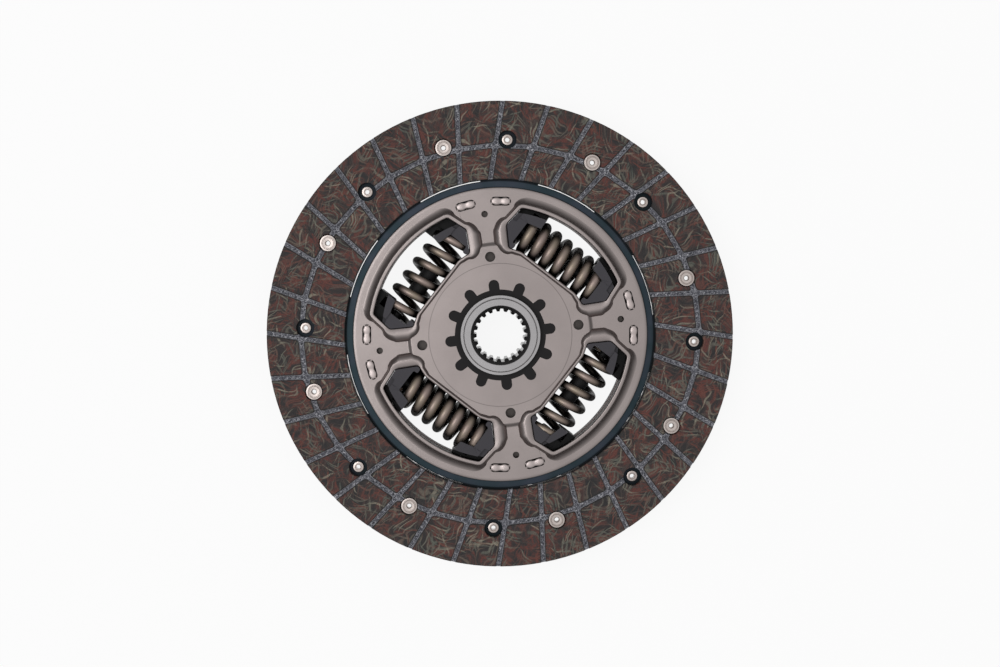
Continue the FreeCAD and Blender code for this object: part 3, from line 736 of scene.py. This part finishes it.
def finishedPlate(name, sheet, node, finish):
    # Names and dresses a plate: upright faces are sheared edges in a dark painted shade, all others have
    # the plate's finish
    mesh = sheet.data
    sheet.name = name
    mesh.materials.clear()
    mesh.materials.append(finishes[finish])
    mesh.materials.append(finishes["shearedEdgePaintedShade"])
    mesh.polygons.foreach_set("use_smooth", [True] * len(mesh.polygons))
    mesh.set_sharp_from_angle(angle=math.radians(plate["sharpAngle"]))
    facing = np.empty(3 * len(mesh.polygons))
    mesh.polygons.foreach_get("normal", facing)
    upright = np.abs(facing[2::3]) < plate["edgeFaces"]
    mesh.polygons.foreach_set("material_index", upright.astype(int))
    weighted = sheet.modifiers.new("flatsStayFlat", "WEIGHTED_NORMAL")
    weighted.keep_sharp = True
    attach(sheet, "disc")
    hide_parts(node)
    print(name, "pressed:", len(mesh.polygons), "faces")


def frontPlate():
    # Slots for the lugs, holes in the spokes and notches for the bush's tabs, cut in one go
    sheet = pressedSheet("front")
    spoke, spread, lugRadius = plate["lug"]
    length, width = plate["lugSlot"]
    slot = slotOutline(lugRadius, math.pi / 2, length - width, width)
    outlines = [(spoke - spread, slot), (spoke + spread, slot)]
    for radius, diameter in (plate["pinHole"], plate["spokeHole"]):
        outlines.append((spoke, slotOutline(radius, 0, 0, diameter)))
    cuts = []
    for angle, outline in outlines:
        cuts += repeated(uprightShell(outline, *plate["cut"]), [angle + turn for turn in quarterTurns])
    count, first, width, reach = plate["tabNotch"]
    inner = plate["bore"] - 3
    notch = slotOutline((inner + reach) / 2, 0, reach - inner - width, width)
    cuts += repeated(uprightShell(notch, *plate["cut"]), [first + 360 / count * k for k in range(count)])
    combine(sheet, meshOf("openings", *joined(cuts)), "DIFFERENCE")
    finishedPlate("pressedFrontPlate", sheet, "front_retainer_plate", "pressedSteel")


def stakedCap():
    # Staked end of a lug: a closed tube along the lug. With s from -1 to 1 along it, its half width
    # is w sqrt(1 - s^4) (1 - 0.3 exp(-(s / 0.28)^2)), so that it swells at both ends. Its height has
    # a waist of 0.35, and its section is a flattened ellipse
    length, width, level, half = plate["lugCap"]
    rings = 25
    around = 20
    s = np.sin(np.linspace(-0.499, 0.499, rings) * math.pi)[:, None]
    turn = np.linspace(0, 2 * math.pi, around, endpoint=False)[None, :]
    swell = np.sqrt(1 - s ** 4)
    waist = np.exp(-(s / 0.28) ** 2)
    wide = width / 2 * swell * (1 - 0.3 * waist)
    tall = half * np.sqrt(swell) * (1 - 0.35 * waist)
    x = plate["lug"][2] + wide * np.sign(np.cos(turn)) * np.abs(np.cos(turn)) ** 0.8
    y = s * length / 2 + 0 * turn
    z = level + tall * np.sign(np.sin(turn)) * np.abs(np.sin(turn)) ** 0.6
    return np.stack([x, y, z], axis=-1).reshape(-1, 3), tubeFaces(rings, around)


def rearPlate():
    # The sheet is mirrored in the springs' plane, and its lugs are joined on to it part by part
    upward = pressedSheet("rear")
    points, faces = meshArrays(upward.data, (1, 1, -1))
    points[:, 2] += 2 * coils["plane"]
    bpy.data.objects.remove(upward)
    sheet = meshOf("pressedRearPlate", points, faces)
    spoke, spread, lugRadius = plate["lug"]
    parts = [stakedCap()]
    for length, thickness, low, high in (plate["lugFoot"], plate["lugTongue"]):
        outline = np.array([(-1, -1), (1, -1), (1, 1), (-1, 1)]) * (thickness / 2, length / 2)
        parts.append(uprightShell(outline + (lugRadius, 0), low, high))
    turns = [spoke + side * spread + turn for turn in quarterTurns for side in (-1, 1)]
    for part in parts:
        combine(sheet, meshOf("lugs", *joined(repeated(part, turns))), "UNION")
    finishedPlate("pressedRearPlate", sheet, "rear_retainer_plate", "stakedSteel")


# Cushion plate: thin blued sheet between the linings, seen as a ring between them and the front plate
cushion = {
    "ring": (72.05, 75.5),
    "levels": (16.78, 17.62),
    "paintedEdgeShade": (72.1, 72.7, 74.9, 75.4),  # radii between which the tone rises, and falls again: painted shade at both edges of the ring
}


def cushionMaterial(name):
    # Blued spring steel: dark blue-green, with painted shade that makes it nearly black at its inner and
    # outer edges
    material, tree, coords = newMaterial(name)
    radius = axisDistance(tree, coords)
    inStart, inStop, outStart, outStop = cushion["paintedEdgeShade"]
    tone = addNode(tree, "MapRange", {"interpolation_type": "SMOOTHSTEP"}, {
        "Value": radius, "From Min": inStart, "From Max": inStop, "To Min": 0.25, "To Max": 1.0})
    outer = addNode(tree, "MapRange", {"interpolation_type": "SMOOTHSTEP"}, {
        "Value": radius, "From Min": outStop, "From Max": outStart, "To Min": 0.3, "To Max": 1.0})
    tone = addNode(tree, "Math", "MULTIPLY", {0: tone, 1: outer})
    cloud = addNode(tree, "TexNoise", None, {"Vector": coords, "Scale": 0.06, "Detail": 3.0})
    tint = addNode(tree, "ValToRGB", {"stops": [(0.4, "#26343a"), (0.6, "#333a44")]}, {0: cloud})
    base = addNode(tree, "VectorMath", "SCALE", {0: tint, "Scale": tone})
    finishMaterial(tree, {"Base Color": base, "Metallic": 0.85, "Roughness": 0.4})
    return material


def cushionPlate():
    # A merged copy of the plate's own mesh, with a slightly wider ring joined to it
    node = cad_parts["cushion_plate"]
    shape = bmesh.new()
    shape.from_mesh(node.data)
    bmesh.ops.remove_doubles(shape, verts=shape.verts, dist=0.001 * mm)
    copy = bpy.data.meshes.new("cushionCopy")
    shape.to_mesh(copy)
    shape.free()
    plateThing = meshOf("bluedCushionPlate", *meshArrays(copy))
    inner, outer = cushion["ring"]
    low, high = cushion["levels"]
    ring = turnedShell([(inner, low), (inner, high), (outer, high), (outer, low)])
    combine(plateThing, meshOf("ring", *ring), "UNION")
    plateThing.data.materials.clear()
    plateThing.data.materials.append(finishes["blueSteel"])
    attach(plateThing, "disc")
    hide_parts("cushion_plate")
    print("cushion plate:", len(plateThing.data.polygons), "faces")


# Hollow brass rivets that hold the linings: ringed head in the counterbore, end rolled over beyond
# the cushion plate. The front lining's are as given here and the rear one's are mirrored in the plate
rivet = {
    "circle": 95.3,  # radius at which they stand
    "spread": 9.5,  # degrees to either side of each eighth of a turn
    "mirror": 17.2,  # middle level of the cushion plate
    "section": [
        (1.1, 15.9), (1.1, 19.6), (1.35, 19.95), (2.55, 20.0), (2.75, 19.7), (3.0, 19.7),
        (3.2, 20.05), (3.85, 20.0), (4.1, 19.75), (4.1, 19.02), (2.25, 19.02), (2.25, 16.78),
        (2.8, 16.78), (2.8, 16.4), (2.5, 16.0), (2.0, 15.9), (1.7, 15.9), (1.5, 16.3), (1.3, 16.3)],
}


def facingRivets(name, side, node):
    # Eight rivets as one piece: side is 1 for the front lining and -1 for the rear one
    points, faces = turnedShell(rivet["section"], 40)
    if side < 0:
        points = points * (1, 1, -1) + (0, 0, 2 * rivet["mirror"])
        faces = [face[::-1] for face in faces]
    turns = [side * rivet["spread"] + 45 * k for k in range(8)]
    points, faces = joined(repeated((points + (rivet["circle"], 0, 0), faces), turns))
    piece = meshPiece(name, points, faces, finishes["rivetBrass"], 40)
    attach(piece, "disc")
    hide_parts(node)


# Coil springs: oil-hardened round wire. Each is two half coils that meet in the middle, one on
# each moving seat, so that the spring shortens from the side that the hub pushes
coils = {
    # axis is the distance from the hub axis, and tips where a coil of each spring is furthest out
    "heavy": {
        "diameter": 21.5, "wire": 4.85, "pitch": 6.58, "length": 45.8, "axis": 47.2, "tips": (0.7, 3.4)},
    "light": {
        "diameter": 20.5, "wire": 3.9, "pitch": 8.15, "length": 48.0, "axis": 46.4, "tips": (4.4, 3.1)},
    "plane": 14.0,  # height of the springs' axes
    "stepsPerTurn": 60,
    "around": 26,
    "overrun": 0.55,  # how far the wire's middle runs past the ground end, in wire radii
}


def windowTurn(kind, number):
    # Angle of a spring's window in degrees
    return (0 if kind == "heavy" else 90) + 180 * (number - 1)


def coilHalf(kind, number, side):
    # Helix about the window's tangent: outwards = R sin(phi), up = R cos(phi), along = u, with
    # phi = 2 pi (u - tip) / pitch + pi / 2. A ring of wire stands across it, and points past the end
    # plane are pressed back on to it, as the ground end of a spring is.
    own = coils[kind]
    turned = math.radians(windowTurn(kind, number))
    outward = np.array([math.cos(turned), math.sin(turned), 0])
    along = np.array([-outward[1], outward[0], 0])
    middle = outward * own["axis"] + np.array([0, 0, coils["plane"]])
    length = own["length"]
    coilRadius = (own["diameter"] - own["wire"]) / 2
    wireRadius = own["wire"] / 2
    reach = length / 2 + coils["overrun"] * wireRadius
    steps = int(reach / own["pitch"] * coils["stepsPerTurn"])
    place = np.linspace(0, reach, steps)[:, None] * side
    turn = 2 * math.pi * (place - own["tips"][number - 1]) / own["pitch"] + math.pi / 2
    rate = 2 * math.pi / own["pitch"] * coilRadius
    radial = np.stack([np.sin(turn), 0 * turn, np.cos(turn)], axis=-1)
    heading = np.stack([rate * np.cos(turn), np.ones_like(turn), -rate * np.sin(turn)], axis=-1)
    heading = heading / np.linalg.norm(heading, axis=-1, keepdims=True)
    across = np.cross(heading, radial)
    spin = np.linspace(0, 2 * math.pi, coils["around"], endpoint=False)[None, :, None] * side
    centre = radial * coilRadius + np.stack([0 * place, place, 0 * place], axis=-1)
    local = centre + wireRadius * (np.cos(spin) * radial + np.sin(spin) * across)
    local[..., 1] = np.clip(local[..., 1], -length / 2, length / 2)
    axes = np.stack([outward, along, [0, 0, 1]])
    points = local.reshape(-1, 3) @ axes + middle
    name = kind + "Spring" + str(number) + ("CoastHalf" if side > 0 else "DriveHalf")
    piece = meshPiece(name, points, tubeFaces(steps, coils["around"]), finishes["springSteel"], 60)
    body = "coast_seats" if side > 0 else "drive_seats"
    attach(piece, body)
    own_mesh(piece)
    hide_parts(kind + "_spring_" + str(number))


# Spring seats: moulded wedges that fill the ends of a window, each with a hood over the spring, a
# keeper between the plates and a nose inside the spring
seats = {
    "heavy": {"hoodLength": 7.0, "hoodEdge": 51.2, "hoodRadius": 60.2, "noseFrom": 4.1},
    "light": {"hoodLength": 6.5, "hoodEdge": 49.2, "hoodRadius": 57.9, "noseFrom": 21.6},
    "endGap": 0.1,
    "fit": 0.1,
    "springGap": 0.12,
    "rise": 0.3,  # of the hood over the spring
    "foot": [(36.5, 22.6), (37.0, 20.8), (39.4, 20.8)],  # corners nearest to the hub
    "hoodSlope": 1.8,
    "cornerRun": 1.2,
    "rearRadius": 62.0,
    "keeperRadius": 63.0,
    "keeperHalf": 3.2,
    "toolFrom": 20,  # distance from the hub axis at which the trimming tools start
    "wedgeDrop": 1.0,
    "stripDrop": 2.5,
    "stripWidth": 2.4,
    "stripFrom": (47.2, 48.7),
    "nose": (2.85, 0.6),  # radius and chamfer
}


def barShell(radius, axis, start, end, chamfer=0.01, count=48):
    # Round bar along Y on +X, with a small chamfer on both ends
    turn = np.linspace(0, 2 * math.pi, count, endpoint=False)
    places = [(start, radius - chamfer), (start + chamfer, radius),
              (end - chamfer, radius), (end, radius - chamfer)]
    plane = coils["plane"]
    rings = [np.stack([axis + r * np.sin(turn), y + 0 * turn, plane + r * np.cos(turn)], axis=-1)
             for y, r in places]
    return np.concatenate(rings), tubeFaces(4, count)


def seatShape(kind):
    # Seat at the +Y end of a window on +X, as one closed mesh
    own = seats[kind]
    coil = coils[kind]
    face = coil["length"] / 2 + seats["endGap"]
    hoodEnd = face - own["hoodLength"]
    hoodEdge = own["hoodEdge"]
    half = coil["diameter"] / 2 + seats["rise"]
    plane = coils["plane"]
    low = plane - half
    high = plane + half
    beyond = plate["rim"]["rear"]
    shoulder = window["shoulder"]
    corners = np.array([
        (beyond, wallHalf(beyond) - seats["fit"]), (shoulder, wallHalf(shoulder) - seats["fit"]),
        *seats["foot"], (seats["foot"][-1][0], face), (hoodEdge, face),
        (hoodEdge + seats["hoodSlope"], hoodEnd), (beyond, hoodEnd)])
    closed = np.concatenate([corners, corners[:1]])
    sides = [np.linspace(a, b, 40, endpoint=False) for a, b in zip(closed[:-1], closed[1:])]
    fine = np.concatenate(sides)
    outline, _ = evened(fine, np.zeros((len(fine), 1)))
    outline = averaged(outline, seats["cornerRun"])[::-1]
    block = meshOf("seatBlock", *uprightShell(outline, low, high))

    start = seats["toolFrom"]
    keeperLow = plane - seats["keeperHalf"]
    keeperHigh = plane + seats["keeperHalf"]
    rim = [(start, low - 1), (seats["rearRadius"], low - 1), (seats["rearRadius"], keeperLow),
           (seats["keeperRadius"], keeperLow), (seats["keeperRadius"], keeperHigh),
           (own["hoodRadius"], keeperHigh), (own["hoodRadius"], high + 1), (start, high + 1)]
    combine(block, meshOf("rim", *turnedShell(rim)), "INTERSECT")
    hollow = barShell(coil["diameter"] / 2 + seats["springGap"], coil["axis"], 0, face)
    combine(block, meshOf("hollow", *hollow), "DIFFERENCE")
    wedge = np.array([(start, 0), (hoodEdge, 0), (hoodEdge, beyond), (start, beyond)])
    width = seats["stripWidth"]
    near, far = seats["stripFrom"]
    strip = np.array([(beyond, wallHalf(beyond) - width), (beyond, wallHalf(beyond) + 3),
                      (near, wallHalf(near) + 3), (far, wallHalf(far) - width)])
    for outline, depth in ((wedge, seats["wedgeDrop"]), (strip, seats["stripDrop"])):
        for levels in ((low - 1, low + depth), (high - depth, high + 1)):
            combine(block, meshOf("step", *uprightShell(outline, *levels)), "DIFFERENCE")
    radius, chamfer = seats["nose"]
    nose = barShell(radius, coil["axis"], own["noseFrom"], face + 1, chamfer, 40)
    combine(block, meshOf("nose", *nose), "UNION")
    shape = block.data
    bpy.data.objects.remove(block)
    return shape


def springSeats(kind):
    shape = seatShape(kind)
    for number in (1, 2):
        for side, word in ((1, "coast"), (-1, "drive")):
            points, faces = meshArrays(shape, None if side > 0 else (1, -1, 1))
            points = aroundAxis(points, windowTurn(kind, number))
            name = kind + word.title() + "Seat" + str(number)
            piece = meshPiece(name, points, faces, finishes["seatNylon"], 35)
            weighted = piece.modifiers.new("flatsStayFlat", "WEIGHTED_NORMAL")
            weighted.keep_sharp = True
            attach(piece, word + "_seats")
            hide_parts(kind + "_" + word + "_seat_" + str(number))


# Stop pins: plain black pins that lie loose in the light springs, off their middle by these places
stopPin = {"radius": 4.1, "length": 18.0, "chamfer": 0.5, "axis": 45.7, "places": (1.6, -1.6)}


def stopPins():
    for number, place in zip((1, 2), stopPin["places"]):
        half = stopPin["length"] / 2
        points, faces = barShell(
            stopPin["radius"], stopPin["axis"], place - half, place + half, stopPin["chamfer"])
        points = aroundAxis(points, windowTurn("light", number))
        piece = meshPiece("lightStopPin" + str(number), points, faces, finishes["blackNylon"], 30)
        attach(piece, "disc")


def dress(material, *nodes):
    for name in nodes:
        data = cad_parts[name].data
        data.materials.clear()
        data.materials.append(material)


finishes = {
    "lining": liningMaterial(),
    "pressedSteel": steelMaterial("phosphatedPressedSteel", "#958c8a", 0.36, scribed=(35.0, 0.3)),
    # upright window walls: painted shade
    "shearedEdgePaintedShade": steelMaterial("shearedSteelEdgePaintedShade", "#2e2b2a", 0.5),
    "stakedSteel": steelMaterial("phosphatedStakedSteel", "#958c8a", 0.36, fresh=20.3),
    "blueSteel": cushionMaterial("bluedSpringSteel"),
    "rivetBrass": steelMaterial("tinnedBrassRivet", "#b9afaa", 0.28),
    "turnedSteel": steelMaterial("turnedHubSteel", "#9f9d9e", 0.25, bore=14.2),
    "springSteel": springMaterial("springWirePaintedShade"),
    # the seats get painted shade, near black close to the springs' plane
    "seatNylon": plasticMaterial("seatNylon", "#434146", 0.5, (6.0, 9.3, 0.05)),
    "blackNylon": plasticMaterial("blackNylon", "#1a1819", 0.55),
    "flangeSteel": steelMaterial("stampedFlangeSteel", "#4a4644", 0.4),
}
dress(finishes["lining"], "front_facing", "rear_facing")
dress(finishes["turnedSteel"], "spline_hub", "support_washer", "diaphragm_spring")
dress(finishes["blackNylon"], "front_friction_bush", "rear_friction_ring")
dress(finishes["flangeSteel"], "hub_flange")
print("materials made")

for kind in ("heavy", "light"):
    for number in (1, 2):
        for side in (-1, 1):
            coilHalf(kind, number, side)
    springSeats(kind)
stopPins()
print("springs wound and seated")
frontPlate()
rearPlate()
cushionPlate()
facingRivets("frontLiningRivets", 1, "front_facing_rivets")
facingRivets("rearLiningRivets", -1, "rear_facing_rivets")

bpy.context.scene.view_settings.view_transform = "Standard"
